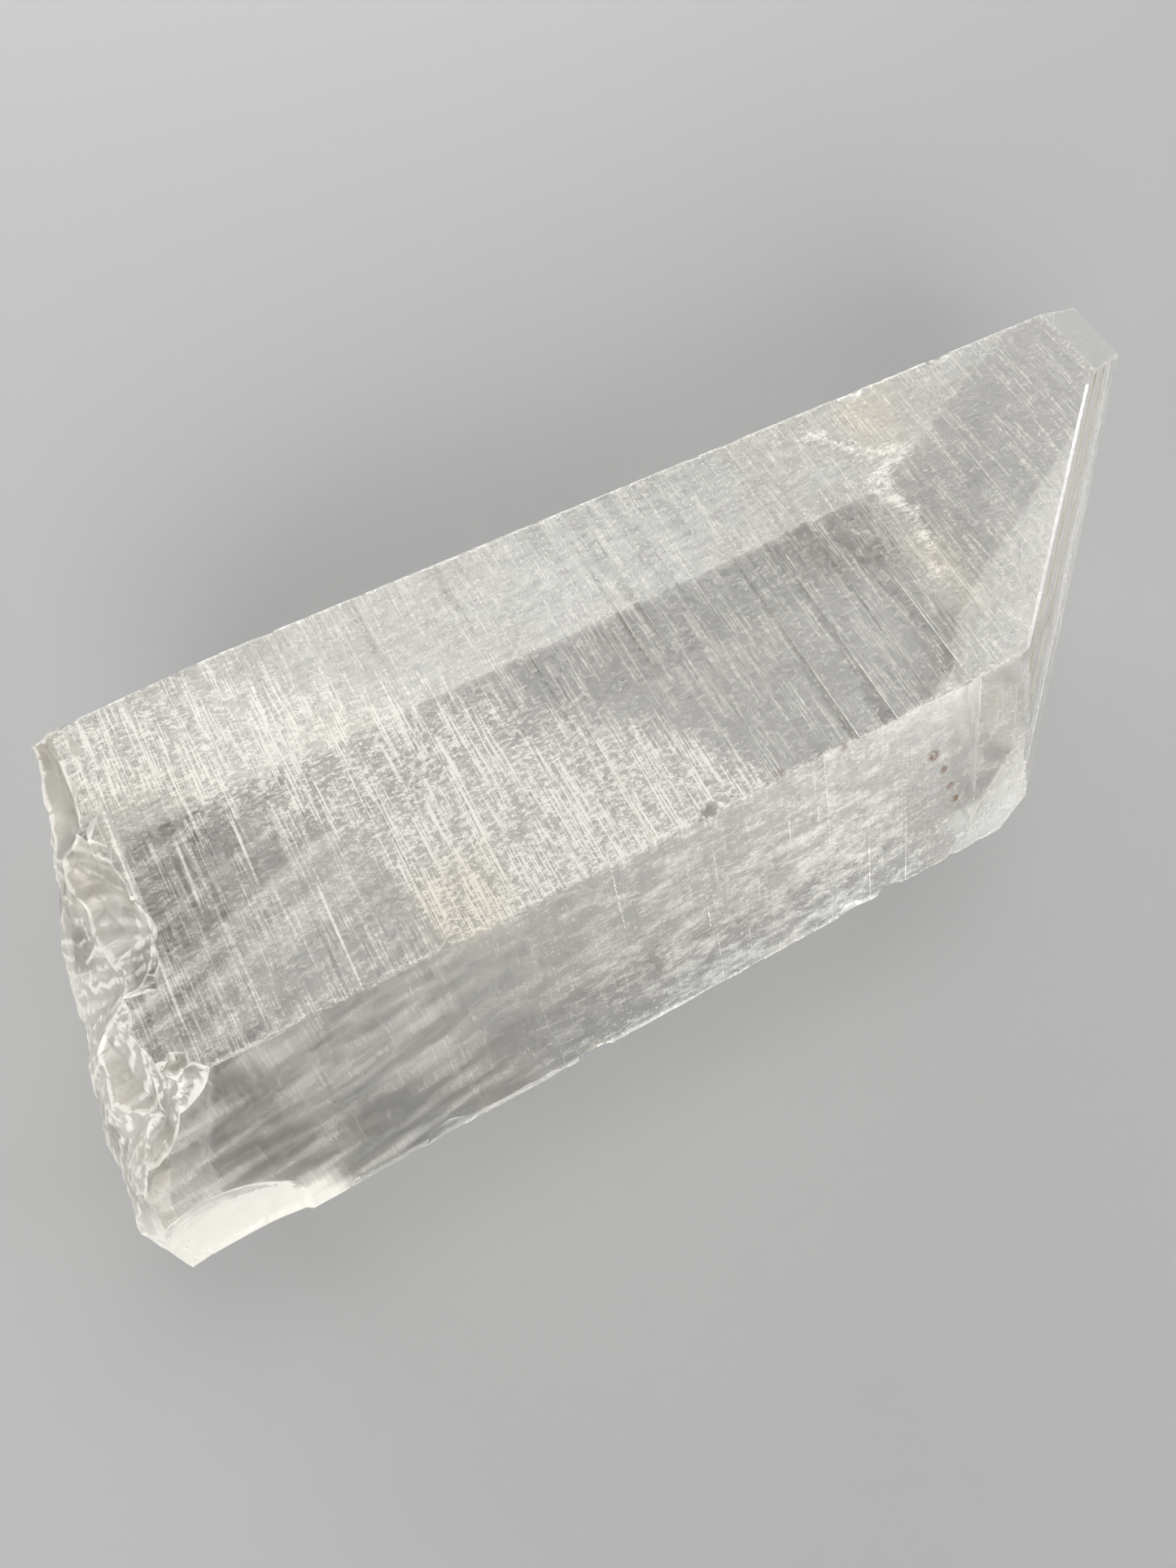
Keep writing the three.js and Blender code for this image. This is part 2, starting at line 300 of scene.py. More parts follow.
bm = bmesh.new()
bmesh.ops.create_cube(bm, size=400)
for name in END_FACES:
    cut_away(bm, PLANES[name][1], PLANES[name][0])
names = list(PLANES)
for i, first in enumerate(names):
    for second in names[i + 1:]:
        if first in END_FACES or second in END_FACES:
            (n1, p1), (n2, p2) = PLANES[first], PLANES[second]
            both = n1 + n2
            if both.length > 0.3:
                back = n1.dot(p1) + n2.dot(p2) - EDGE_CUT * rng.uniform(0.6, 2.4)
                cut_away(bm, both * (back / both.length_squared), both.normalized())
main_normal, main_point = PLANES["main"]
for above, skin in MAIN_STEPS + fine_main_steps:
    for z in (above - 0.01, above + 0.01):
        parts = bm.verts[:] + bm.edges[:] + bm.faces[:]
        bmesh.ops.bisect_plane(bm, geom=parts, plane_co=(0, 0, z), plane_no=(0, 0, 1))
for vert in bm.verts:
    if abs((vert.co - main_point).dot(main_normal)) < 1e-3 and 18 < vert.co.z < 31:
        vert.co -= main_normal * main_face_depth(vert.co.z)
bmesh.ops.recalc_face_normals(bm, faces=bm.faces)
point_block = solid_from(bm, "point_block")
print("point:", len(point_block.data.polygons), "faces")

# %% [markdown]
# Quartz has no cleavage, so it breaks like thick glass: shallow shell-like scars meet in sharp
# ridges, with ripples that spread from where each one started. The plain break is a height over a
# fine grid. The scars and flakes are cut out of it by turned plugs, whose undersides are dishes,
# because solids that are cut by one another meet in edges as crisp as the real ridges.

# %% Break
BULGE_HEIGHT = 14
# The outline of the break from above, as pairs of Y and X: where it bulges most, and at its upper lip.
BULGE = [
    (-21.6, -53.6), (-17.5, -56.1), (-7, -56.1), (0, -55.2),
    (5, -53.8), (12, -52), (17, -50.4), (21.6, -47.8),
]
LIP = [
    (-21.6, -49), (-15, -48.8), (-12.8, -46.6), (-10.8, -49.3), (-7.4, -49.1), (-4.6, -46.3),
    (1.2, -46.7), (3.4, -47.8), (12.6, -47.3), (21.6, -48.6),
]
LOWER_SETBACK = 3.2  # how far the break's lower rim lies behind its bulge
GRID = 0.35
MARGIN = 3  # how far the waste reaches past the crystal all round


def along(line, y):
    return float(np.interp(y, [p[0] for p in line], [p[1] for p in line]))


def plain_break(y, z):
    """X of the plain break, before its scars."""
    bulge = along(BULGE, y)
    if z < BULGE_HEIGHT:
        return bulge + LOWER_SETBACK * min(1, (BULGE_HEIGHT - z) / BULGE_HEIGHT) ** 1.8
    rise = min(1, (z - BULGE_HEIGHT) / (THICKNESS - BULGE_HEIGHT))
    return bulge + (along(LIP, y) - bulge) * rise**1.5


def rough_break(y, z):
    """X of the break with its waves and fine steps."""
    wave = noise.noise(Vector((y * 0.25, z * 0.25, 2.2))) * 0.3
    step = noise.noise(Vector((y * 0.45, z * 0.3, 5.1))) * 5
    step = (math.floor(step) + min(1, (step % 1) * 7)) * 0.05
    grit = noise.noise(Vector((y * 1.6, z * 1.6, 8.2))) * 0.05
    return plain_break(y, z) + wave + step + grit


def break_waste():
    """Everything that broke away, as a closed block with the break on its +X side."""
    rows, columns = (int((size + 2 * MARGIN) / GRID) for size in (THICKNESS, WIDTH))
    bm = bmesh.new()
    ys = np.linspace(-WIDTH / 2 - MARGIN, WIDTH / 2 + MARGIN, columns + 1)
    zs = np.linspace(-MARGIN, THICKNESS + MARGIN, rows + 1)
    front = [[bm.verts.new((rough_break(y, z), y, z)) for y in ys] for z in zs]
    for a, b in zip(front, front[1:]):
        for i in range(columns):
            bm.faces.new((a[i], a[i + 1], b[i + 1], b[i]))
    rim = [e for e in bm.edges if e.is_boundary]
    grown = bmesh.ops.extrude_edge_only(bm, edges=rim)["geom"]
    for vert in grown:
        if isinstance(vert, bmesh.types.BMVert):
            vert.co.x = low.x - 8
    bmesh.ops.contextual_create(bm, geom=[e for e in bm.edges if e.is_boundary])
    bmesh.ops.recalc_face_normals(bm, faces=bm.faces)
    return solid_from(bm, "break_waste")


def plug(place, direction, radius, depth, ripples=0, sides=20):
    """A turned plug with a dished lower end, aimed so that its axis is the surface's direction."""
    rings = max(6, ripples * 10)
    profile = []
    for ring in range(1, rings + 1):
        out = ring / rings
        wave = 0
        if ripples:
            wave = 0.07 * depth * math.cos(2 * math.pi * ripples * out) * out * (1 - out) * 4
        profile.append((out * radius, -depth * (1 - out * out) + wave))
    profile.append((radius * 1.3, radius * 0.6))
    turns = [2 * math.pi * k / sides - math.pi / 2 for k in range(sides)]
    bm = bmesh.new()
    bottom = bm.verts.new((0, 0, -depth))
    rows = [[bm.verts.new((r * math.cos(t), r * math.sin(t), h)) for t in turns] for r, h in profile]
    for k in range(sides):
        bm.faces.new((bottom, rows[0][k], rows[0][(k + 1) % sides]))
        for a, b in zip(rows, rows[1:]):
            bm.faces.new((a[k], b[k], b[(k + 1) % sides], a[(k + 1) % sides]))
    bm.faces.new(rows[-1])
    bmesh.ops.recalc_face_normals(bm, faces=bm.faces)
    turn = Vector((0, 0, 1)).rotation_difference(direction).to_matrix().to_4x4()
    bm.transform(Matrix.Translation(place) @ turn)
    return solid_from(bm, "plug")


waste = break_waste()
print("break:", len(waste.data.polygons), "faces")

# %% [markdown]
# The large scars have places of their own. Where the break meets the faces of the crystal, and
# along their worn edges, many tiny knocks have left chips too small to place one by one, so they
# are scattered by rule, from a fixed seed.

# %% Scars, flakes and chips
# Each scar of the break: Y and Z of its middle, radius, depth, ripples and sides.
BREAK_SCARS = [
    (13.5, 31.5, 8.5, 0.9, 2, 48), (1.2, 31.2, 5.2, 1.0, 2, 9), (-3.6, 30.8, 3.2, 1.0, 1, 7),
    (-9.6, 31.5, 6.4, 0.9, 2, 11), (-13.8, 28.2, 3.8, 1.0, 1, 8), (-18.8, 21, 4.6, 0.5, 1, 36),
    (9.5, 17.5, 7.5, 0.8, 2, 48), (-4.5, 16.5, 8, 0.9, 3, 48), (-14.5, 14, 5, 0.6, 1, 36),
    (6.5, -2.5, 14, 1.5, 4, 64), (-12, -1.5, 10.5, 1.3, 3, 56), (21.5, 13, 8, 0.7, 2, 40),
]
# Y of the long edges of the top face, and of the far one of the underside.
TOP_NEAR_Y, TOP_FAR_Y = NEAR_Y + UPPER_INSET, FAR_Y - UPPER_INSET
UNDER_Y = LOWER_Y - LOWER_INSET / 2
# Each flake or chip: place, lean and turn of the surface, radius, depth, ripples and sides.
FLAKES = [
    ((-50.4, -20.2, 17.6), 90, 160, 5.5, 0.9, 2, 40), ((-47, 8, THICKNESS), 106, 88, 5.2, 0.6, 1, 9),
    ((-47, -1.6, THICKNESS), 114, 92, 2.9, 0.5, 1, 7),
    ((-46.6, -5.2, THICKNESS), 122, 96, 1.9, 0.4, 1, 6),
    ((-46.8, -13.4, THICKNESS - 0.4), 118, 124, 2.8, 0.7, 0, 7),
    ((0.9, NEAR_Y + 0.2, 16.6), 90, 172, 1.7, 0.4, 0, 14),
    ((4.4, NEAR_Y + 0.3, 15.6), 90, 188, 1.2, 0.35, 0, 12),
    ((-22.7, NEAR_Y + 0.2, 15.9), 90, 180, 1.4, 0.35, 0, 12),
    ((-34.6, NEAR_Y + 0.3, 16.9), 90, 166, 2.1, 0.4, 0, 14),
    ((-10.2, -12.9, THICKNESS - 0.1), 90, 120, 1.1, 0.25, 0, 9),
    ((18.6, TOP_FAR_Y - 0.1, THICKNESS - 0.1), 90, 62, 1.5, 0.35, 0, 11),
    ((27.9, TOP_FAR_Y - 0.1, THICKNESS - 0.2), 90, 58, 1.2, 0.3, 0, 9),
    ((-14.9, FAR_Y - 0.3, 15.2), 90, 356, 1.9, 0.4, 0, 12),
    ((9.3, FAR_Y - 0.2, 16.2), 90, 2, 1.3, 0.3, 0, 10),
]
PIT = Vector((50.6, 8.6, 22.1))  # the three-sided growth pit in the small end face
LIP_CHIPS = 22
# Each worn edge: its two ends, the way it looks, how many chips it has and the largest radius.
EDGE_CHIPS = [
    ((-45, NEAR_Y, EDGE_HEIGHT), (14, NEAR_Y, EDGE_HEIGHT), (0, -1, 0), 34, 0.9),
    ((-45, TOP_NEAR_Y, THICKNESS), (16, TOP_NEAR_Y, THICKNESS), (0, -0.5, 0.87), 14, 0.45),
    ((-45, TOP_FAR_Y, THICKNESS), (39, TOP_FAR_Y, THICKNESS), (0, 0.5, 0.87), 30, 0.6),
    ((-44, FAR_Y, EDGE_HEIGHT), (45, FAR_Y, EDGE_HEIGHT), (0, 1, 0), 22, 0.8),
    ((UNDER_END_X, -1, 0), (UNDER_END_X, 12, 0), (0.28, 0, -0.96), 26, 0.9),
    ((-48, UNDER_Y, 0), (27, UNDER_Y, 0), (0, 0.5, -0.87), 30, 0.7),
    ((-48, -UNDER_Y, 0), (14, -UNDER_Y, 0), (0, -0.5, -0.87), 20, 0.7),
]


def break_way(y, z):
    """The way that the plain break looks at a place."""
    reach = 3
    lean_y = (plain_break(y + reach, z) - plain_break(y - reach, z)) / (2 * reach)
    lean_z = (plain_break(y, z + reach) - plain_break(y, z - reach)) / (2 * reach)
    return Vector((-1, lean_y, lean_z)).normalized()


def jitter(way, amount):
    """A direction turned a little off its way, at random."""
    return (Vector(way) + Vector(rng.normal(0, amount, 3))).normalized()


plugs = []
for y, z, radius, depth, *rest in BREAK_SCARS:
    plugs.append(plug((plain_break(y, z) - depth / 4, y, z), break_way(y, z), radius, depth, *rest))
plugs += [plug(Vector(p), outward(lean, around), *rest) for p, lean, around, *rest in FLAKES]
plugs.append(plug(PIT, PLANES["small"][0], 1.1, 0.6, 0, 3))
for _ in range(LIP_CHIPS):
    y = rng.uniform(-15, 14)
    radius = rng.uniform(0.5, 1.6)
    place = (along(LIP, y) - rng.uniform(-0.3, 0.6), y, THICKNESS - rng.uniform(0, 0.6))
    way = jitter((-0.5, 0, 0.85), 0.15)
    plugs.append(plug(place, way, radius, radius * 0.16, 0, int(rng.integers(6, 11))))
for start, stop, way, count, largest in EDGE_CHIPS:
    for _ in range(count):
        place = Vector(start).lerp(Vector(stop), rng.uniform(0, 1)) + Vector(way).normalized() * 0.06
        radius = largest * rng.uniform(0.25, 1)
        aim = jitter(way, 0.15)
        plugs.append(plug(place, aim, radius, radius * 0.2, 0, int(rng.integers(5, 10))))
print("plugs:", len(plugs))

# %% [markdown]
# The pieces are joined and cut as solids. Cutting with some 250 plugs one by one would be slow, so
# the plugs are first laid out on trays where none touches another. Each tray becomes one mesh, the
# few trays are joined into one tool, and the large crystal is cut only once.

# %% Join and cut


def combine(body, tool, operation):
    """Joins the body with a tool, or cuts it by the tool, and uses the tool up."""
    step = body.modifiers.new("cut", "BOOLEAN")
    step.object = tool
    step.operation = operation
    step.solver = "MANIFOLD"
    bpy.context.view_layer.update()
    done = bpy.data.meshes.new_from_object(body.evaluated_get(bpy.context.evaluated_depsgraph_get()))
    body.modifiers.clear()
    body.data = done
    bpy.data.objects.remove(tool)


def is_free(tray, box):
    """True if nothing on the tray touches the box."""
    return all((box[0] > other[1]).any() or (box[1] < other[0]).any() for other, _ in tray)


def lay_out(plugs):
    """Sorts the plugs onto trays where none touches another, and makes each tray one mesh."""
    trays = []
    for thing in plugs:
        corners = np.array([v.co for v in thing.data.vertices])
        box = corners.min(0), corners.max(0)
        tray = next((tray for tray in trays if is_free(tray, box)), None)
        if tray is None:
            tray = []
            trays.append(tray)
        tray.append((box, thing))
    return [pour([thing for _, thing in tray]) for tray in trays]


def pour(things):
    """Puts several solids into one mesh."""
    bm = bmesh.new()
    for thing in things:
        bm.from_mesh(thing.data)
        bpy.data.objects.remove(thing)
    return solid_from(bm, "tray")


crystal = prism
crystal.name = "quartz_point_visual"
combine(crystal, point_block, "INTERSECT")
combine(crystal, waste, "DIFFERENCE")
trays = lay_out(plugs)
print("trays of plugs:", len(trays))
chisel = trays[0]
for tray in trays[1:]:
    combine(chisel, tray, "UNION")
combine(crystal, chisel, "DIFFERENCE")
print("crystal:", len(crystal.data.vertices), "points", len(crystal.data.polygons), "faces")

# %% [markdown]
# Between its ridges, a break in quartz is never smooth: fine hackles fan out from where the blow
# fell, and small steps cross them. The broken faces are divided into small triangles and pushed in
# by a noise that is stretched along the fan. Real relief bends light, which a bump map can't do.
# Points on the rim of the break stay where they are, so that the flat faces beside it stay flat.

# %% Hackles
BLOW = Vector((-47, -8, 37))  # where the fan of hackles starts, just above the lip
HACKLE_DEPTH = 0.2
SMALL = 0.5  # longest side of a triangle of the break
# How far below its plane a flat face still counts as grown: its steps, or its slow taper.
GROWN_DEPTH = [1.2 if name == "upper_far" else 0.45 for name in PLANES]
ALONG = 0.93  # cosine of how far a face may lean from a flat face and still count as grown


def is_broken(face):
    """True for a face of the break: deeper than the ledges, and not along a flat face."""
    middle = face.calc_center_median()
    if middle.x > -42:
        return False
    depths = [way.dot(point - middle) for way, point in PLANES.values()]
    alike = [face.normal.dot(way) > ALONG for way, _ in PLANES.values()]
    grown = any(a and d < most for a, d, most in zip(alike, depths, GROWN_DEPTH))
    return min(depths) > 0.16 and not grown


def hackle(place):
    """How far the break is pushed in at a place."""
    away = place - BLOW
    ray = math.atan2(away.y, -away.z)
    fan = noise.noise(Vector((ray * 11, away.length * 0.1, 3.3))) + 0.4 * noise.noise(place * 0.8)
    step = abs(noise.noise(Vector((ray * 2, away.length * 0.45, 9.1))))
    return HACKLE_DEPTH * min(1, abs(fan) * 1.6) + 0.1 * step


bm = bmesh.new()
bm.from_mesh(crystal.data)
for _ in range(5):
    broken = [face for face in bm.faces if is_broken(face)]
    bmesh.ops.triangulate(bm, faces=[face for face in broken if len(face.verts) > 3])
    broken = [face for face in bm.faces if is_broken(face)]
    long = {edge for face in broken for edge in face.edges if edge.calc_length() > SMALL}
    bmesh.ops.subdivide_edges(bm, edges=list(long), cuts=1)
bm.normal_update()
broken = {face for face in bm.faces if is_broken(face)}
inner = {vert for face in broken for vert in face.verts if broken.issuperset(vert.link_faces)}
pushed = {vert: vert.normal * hackle(vert.co) for vert in inner}
for vert, push in pushed.items():
    vert.co -= push
    vert.co.z = max(vert.co.z, 0)
bm.to_mesh(crystal.data)
bm.free()
crystal.data.transform(Matrix.Scale(MM, 4))
print("hackled points:", len(pushed))

# %% [markdown]
# Growth faces, worn edges and broken surfaces are the same mineral with a different skin, so the
# crystal stays one mesh and its faces are sorted by the way they look: along one of the ten flat
# faces, or not. Broken surfaces are shaded smooth between their ridges, and growth faces stay flat.

# %% Line beside the edges
# Wear is measured at the points of the mesh, so a line of points is laid where it ends.
EDGE_LINE = 0.9  # how far from every edge the wear ends

crystal.data.materials.clear()
bm = bmesh.new()
bm.from_mesh(crystal.data)
for way, point in PLANES.values():
    parts = bm.verts[:] + bm.edges[:] + bm.faces[:]
    place = (point - way * EDGE_LINE) * MM
    bmesh.ops.bisect_plane(bm, geom=parts, plane_co=place, plane_no=way, dist=1e-7)
bm.to_mesh(crystal.data)
bm.free()
print("crystal:", len(crystal.data.vertices) * 2 - 4, "triangles")

# %% Sort the surface
CREASE = math.radians(32)  # edges that turn more than this stay sharp
mesh = crystal.data
count = len(mesh.polygons)
normals = np.empty(count * 3)
mesh.polygons.foreach_get("normal", normals)
normals = normals.reshape(-1, 3)
centres = np.empty(count * 3)
mesh.polygons.foreach_get("center", centres)
centres = centres.reshape(-1, 3) / MM
flat_ways = np.array([tuple(n) for n, _ in PLANES.values()])
flat_far = np.array([n.dot(p) for n, p in PLANES.values()])
alike = normals @ flat_ways.T
behind = flat_far - centres @ flat_ways.T
on_edge = (behind < 0.14).any(1) & (centres[:, 0] > -44)  # worn edges look grown, except at the break
grown = ((alike > ALONG) & (behind < GROWN_DEPTH)).any(1) | on_edge
mesh.polygons.foreach_set("material_index", (~grown).astype(np.int32))
mesh.polygons.foreach_set("use_smooth", ~grown)
bm = bmesh.new()
bm.from_mesh(mesh)
for edge in bm.edges:
    edge.smooth = edge.calc_face_angle(4) < CREASE
bm.to_mesh(mesh)
bm.free()
print("broken surface:", int((~grown).sum()), "of", count, "faces")

# %% [markdown]
# No two faces of a crystal grew alike, and it was knocked harder in some places than in others.
# Such differences are kept as values on the mesh, which the finishes read, and so are two places
# of painted light: a painted sheen on a band of the top face, and a painted glow of light through
# the frosted corner by the break. Noise alone would give every face the same skin.

# %% Ridges and hollows


def store(name, values, domain="POINT"):
    mesh.attributes.new(name, "FLOAT", domain).data.foreach_set("value", np.asarray(values, np.float32))
    print(name, "mean", round(float(np.mean(values)), 3))


def ridges():
    """How far each point stands out from its neighbours: ridges 1, hollows 0."""
    places = np.array([v.co for v in mesh.vertices])
    outs = np.array([v.normal for v in mesh.vertices])
    ends = np.array([e.vertices[:] for e in mesh.edges])
    gap = places[ends[:, 1]] - places[ends[:, 0]]
    gap /= np.maximum(np.linalg.norm(gap, axis=1, keepdims=True), 1e-9)
    total = np.zeros(len(places))
    touched = np.zeros(len(places))
    for here, sign in ((0, -1), (1, 1)):
        np.add.at(total, ends[:, here], sign * (gap * outs[ends[:, here]]).sum(1))
        np.add.at(touched, ends[:, here], 1)
    return np.clip(total / np.maximum(touched, 1) * 3, 0, 1)


# %% Skins
# The skin of each flat face: how strong its growth lines are, how thick its white flecks and its
# frosted clouds lie, and how rough its clear part is.
SKIN = {
    "top": (0.9, 0.35, 0.12, 0.03), "upper_near": (0.3, 0.3, 0.6, 0.05),
    "lower_near": (0.3, 0.3, 0.6, 0.2), "bottom": (0.2, 0.15, 0.15, 0.08),
    "lower_far": (0.35, 0.4, 1, 0.5), "upper_far": (0.5, 0.3, 0.4, 0.12),
    "main": (0.2, 0.2, 0.15, 0.05), "under_main": (0.2, 0.4, 1, 0.5),
    "small": (0.2, 0.2, 0.2, 0.06), "under_small": (0.15, 0.2, 0.1, 0.08),
}
# The upper near face is clearest beside the break: pairs of X and how much of its frost is left.
NEAR_FROST = [(-34, 0.15), (-12, 0.9), (2, 1.2), (12, 0.5)]
# The band of the top face with denser grooves and a painted sheen lies between two lines, as pairs
# of X and Y.
GROOVE_AND_SHEEN_NEAR = [(-47, 6), (-36.4, -1.4), (-31.5, -5.6), (-30, -13), (-28, -17), (0, -17)]
GROOVE_AND_SHEEN_FAR = [(-47, 16), (-36, 14), (-30, 10), (-18.6, 2.5), (-9.8, -5), (-4, -11), (2, -17)]
# Bruised spots, whose white also paints the glow of light through the frosted corner by the break,
# and stained spots: place, reach and strength.
BRUISE_AND_GLOW_SPOTS = [((-50.5, -20.5, 14), 9, 1), ((-44.8, -21, 16), 3.5, 1)]
STAINS = [
    ((18.7, 10.7, 30.6), 3.5, 1), ((21.5, 12.2, 29), 2.5, 1),
    ((-27.7, -11, 30.6), 4.5, 0.6), ((16.5, -4.5, 30.6), 3, 0.7),
]


def smooth(fade):
    """0 below 0, 1 above 1 and smooth between."""
    fade = np.clip(fade, 0, 1)
    return fade * fade * (3 - 2 * fade)


def around(place, reach):
    """1 at a place, fading to 0 at its reach, for every point of the mesh."""
    return smooth((reach - np.linalg.norm(points - np.array(place), axis=1)) / (reach * 0.6))


# %% Spread the marks
points = np.array([v.co for v in mesh.vertices]) / MM
inside = np.sort(flat_far - points @ flat_ways.T, axis=1)
skin = np.array(list(SKIN.values()))[alike.argmax(1)]
near_side = alike.argmax(1) == list(SKIN).index("upper_near")
skin[near_side, 1:3] *= np.interp(centres[near_side, :1], *zip(*NEAR_FROST))
for k, name in enumerate(("lined", "flecked", "clouded", "haze")):
    store(name, skin[:, k], "FACE")
store("worn", np.clip(1 - inside[:, 1] / EDGE_LINE, 0, 1))
store("ridge", np.maximum(ridges(), np.clip(1 - inside[:, 0] / 0.7, 0, 1) * 0.15))
# The band of denser grooves on the top face, which also carries a painted sheen.
near_end, far_end = (np.interp(points[:, 0], *zip(*line)) for line in (GROOVE_AND_SHEEN_NEAR, GROOVE_AND_SHEEN_FAR))
groove_and_sheen = smooth((points[:, 1] - near_end) / 3) * smooth((far_end - points[:, 1]) / 5)
store("groove_and_sheen", groove_and_sheen * (points[:, 2] > THICKNESS - 0.8))
# The bruised spots also carry a painted glow of light through the frosted corner.
for name, spots in (("bruise_and_glow", BRUISE_AND_GLOW_SPOTS), ("stained", STAINS)):
    store(name, np.max([around(place, reach) * strength for place, reach, strength in spots], axis=0))

# %% [markdown]
# The finishes are written as sums. Wire holds one socket, and adding or multiplying wires adds the
# Math nodes. Finish holds a material, and its add method makes any other node. Wiring every node
# by hand would work as well, but a sum can be read at a glance.

# %% Shader helpers: sums


class Wire:
    """One shader socket, so that values can be written as a sum."""

    def __init__(self, socket):
        self.socket = socket
        self.nodes = socket.id_data.nodes
        self.links = socket.id_data.links

    def math(self, operation, *others):
        node = self.nodes.new("ShaderNodeMath")
        node.operation = operation
        for slot, value in zip(node.inputs, (self, *others)):
            feed(slot, value)
        return Wire(node.outputs[0])

    def __add__(self, other):
        return self.math("ADD", other)

    def __mul__(self, other):
        return self.math("MULTIPLY", other)

    def __sub__(self, other):
        return self.math("SUBTRACT", other)

    def __rsub__(self, other):
        node = self.nodes.new("ShaderNodeMath")
        node.operation = "SUBTRACT"
        feed(node.inputs[0], other)
        feed(node.inputs[1], self)
        return Wire(node.outputs[0])

    __radd__ = __add__
    __rmul__ = __mul__

    def mapped(self, low, high, first, last, way="SMOOTHSTEP"):
        """first below low, last above high and a steady change between."""
        node = self.nodes.new("ShaderNodeMapRange")
        node.interpolation_type = way
        for slot, value in zip(node.inputs, (self, low, high, first, last)):
            feed(slot, value)
        return Wire(node.outputs[0])

    def above(self, low, high):
        """0 below low, 1 above high and smooth between."""
        return self.mapped(low, high, 0, 1)

    def below(self, low, high):
        """1 below low, 0 above high and smooth between."""
        return self.mapped(low, high, 1, 0)

    def away_from(self, value):
        """How far the wire is from a value, whichever way."""
        return (self - value).math("ABSOLUTE")


def feed(slot, value):
    if isinstance(value, Wire):
        slot.id_data.links.new(value.socket, slot)
    else:
        slot.default_value = value


# %% Shader helpers: materials


class Finish:
    """One node material."""

    def __init__(self, name):
        self.material = bpy.data.materials.new(name)
        self.material.use_nodes = True
        self.tree = self.material.node_tree
        self.tree.nodes.clear()
        place = self.add("TexCoord", {}, {}, "Object")
        self.place = self.add("VectorMath", {"operation": "SCALE"}, {0: place, "Scale": 1 / MM})
        self.x, self.y, self.z = (self.add("SeparateXYZ", {}, {0: self.place}, k) for k in range(3))

    def add(self, kind, settings, sockets, out=0):
        node = self.tree.nodes.new("ShaderNode" + kind)
        for key, value in settings.items():
            setattr(node, key, value)
        for key, value in sockets.items():
            feed(node.inputs[key], value)
        return Wire(node.outputs[out])

    def stretched(self, x, y, z):
        """The place, squeezed so that a pattern on it is drawn out the other way."""
        return self.add("VectorMath", {"operation": "MULTIPLY"}, {0: self.place, 1: (x, y, z)})

    def noise(self, place, scale, detail=2, rough=0.5):
        sockets = {"Vector": place, "Scale": scale, "Detail": detail, "Roughness": rough}
        return self.add("TexNoise", {}, sockets)

    def stored(self, name):
        """A value that the mesh carries."""
        return self.add("Attribute", {"attribute_name": name}, {}, "Fac")

    def far_from(self, place):
        """How far each place is from a point, in mm."""
        return self.add("VectorMath", {"operation": "DISTANCE"}, {0: self.place, 1: place}, "Value")

    def beside(self, start, stop):
        """How far each place is from a straight line between two points, in mm."""
        line = Vector(stop) - Vector(start)
        away = self.add("VectorMath", {"operation": "SUBTRACT"}, {0: self.place, 1: start})
        part = self.add("VectorMath", {"operation": "DOT_PRODUCT"}, {0: away, 1: line}, "Value")
        part = part.mapped(0, line.length_squared, 0, 1, "LINEAR")
        on_line = self.add("VectorMath", {"operation": "SCALE"}, {0: line, "Scale": part})
        return self.add("VectorMath", {"operation": "DISTANCE"}, {0: away, 1: on_line}, "Value")

    def blend(self, factor, one, two):
        """A colour between two."""
        return self.add("Mix", {"data_type": "RGBA"}, {0: factor, 6: one, 7: two}, 2)

    def bump(self, height, strength, distance=0.00005):
        return self.add("Bump", {}, {"Height": height, "Strength": strength, "Distance": distance})

    def close(self, clear, white, factor):
        """Mixes the clear and the white shader, and gives the material its faint absorption."""
        mixed = self.add("MixShader", {}, {0: factor, 1: clear, 2: white})
        body = self.add("VolumeAbsorption", {}, {"Color": BODY_COLOUR, "Density": BODY_DENSITY})
        output = self.tree.nodes.new("ShaderNodeOutputMaterial")
        feed(output.inputs["Surface"], mixed)
        feed(output.inputs["Volume"], body)
        return self.material


# %% [markdown]
# Clear quartz bends light by 1.544. Its growth faces have a silky skin: hundreds of lines square
# to the long axis, finer than the modelled ledges, between soft white flecks and clouds. One rough
# glass shader would blur everything behind it alike, so a clear and a white shader are mixed, and
# the mix follows how frosted each place is.

# %% Colours and small marks
CLEAR = (0.97, 0.965, 0.95, 1)
WHITE = (0.92, 0.89, 0.83, 1)
CREAM = (0.94, 0.905, 0.83, 1)
COOL = (0.87, 0.885, 0.885, 1)
STAIN = (0.88, 0.79, 0.6, 1)
RUST = (0.16, 0.08, 0.04, 1)
BODY_COLOUR = (0.86, 0.84, 0.78, 1)  # what is left of white light deep inside
BODY_DENSITY = 5.0  # for each metre of quartz
QUARTZ_IOR = 1.544
RUST_SPOTS = [
    (8.6, -15.6, 26), (-10.1, -12.8, 30.3), (-4.4, -12.7, 30.3), (9.6, -16.6, 24.3), (10.3, -17.6, 22.6),
    (10.8, -18.4, 21.2), (0.7, -12.9, 30.2),
]
FIRST_RUST_REACH, RUST_REACH = 0.8, 0.55
CRACK = [
    (13.3, 11.4, 30.6), (15.6, 8.4, 30.6), (19.2, 6.4, 30.6),
    (15.4, 4.2, 30.6), (16.8, 0.8, 30.6), (15.4, -4, 30.6),
]
# Single growth lines that stand out on the top face: X, and the lowest and highest Y.
LONG_LINES = [(-45.9, -9.8, 4.4), (-42.3, -3.5, 1), (-38.6, -3.4, 0.6), (-35.6, -12.7, -5.6)]
LINE_LEAN = 0.03  # how far such a line drifts along the crystal for each mm across it
WISP_TURN = 0.29  # how far the wisps lean from the long axis, in radians
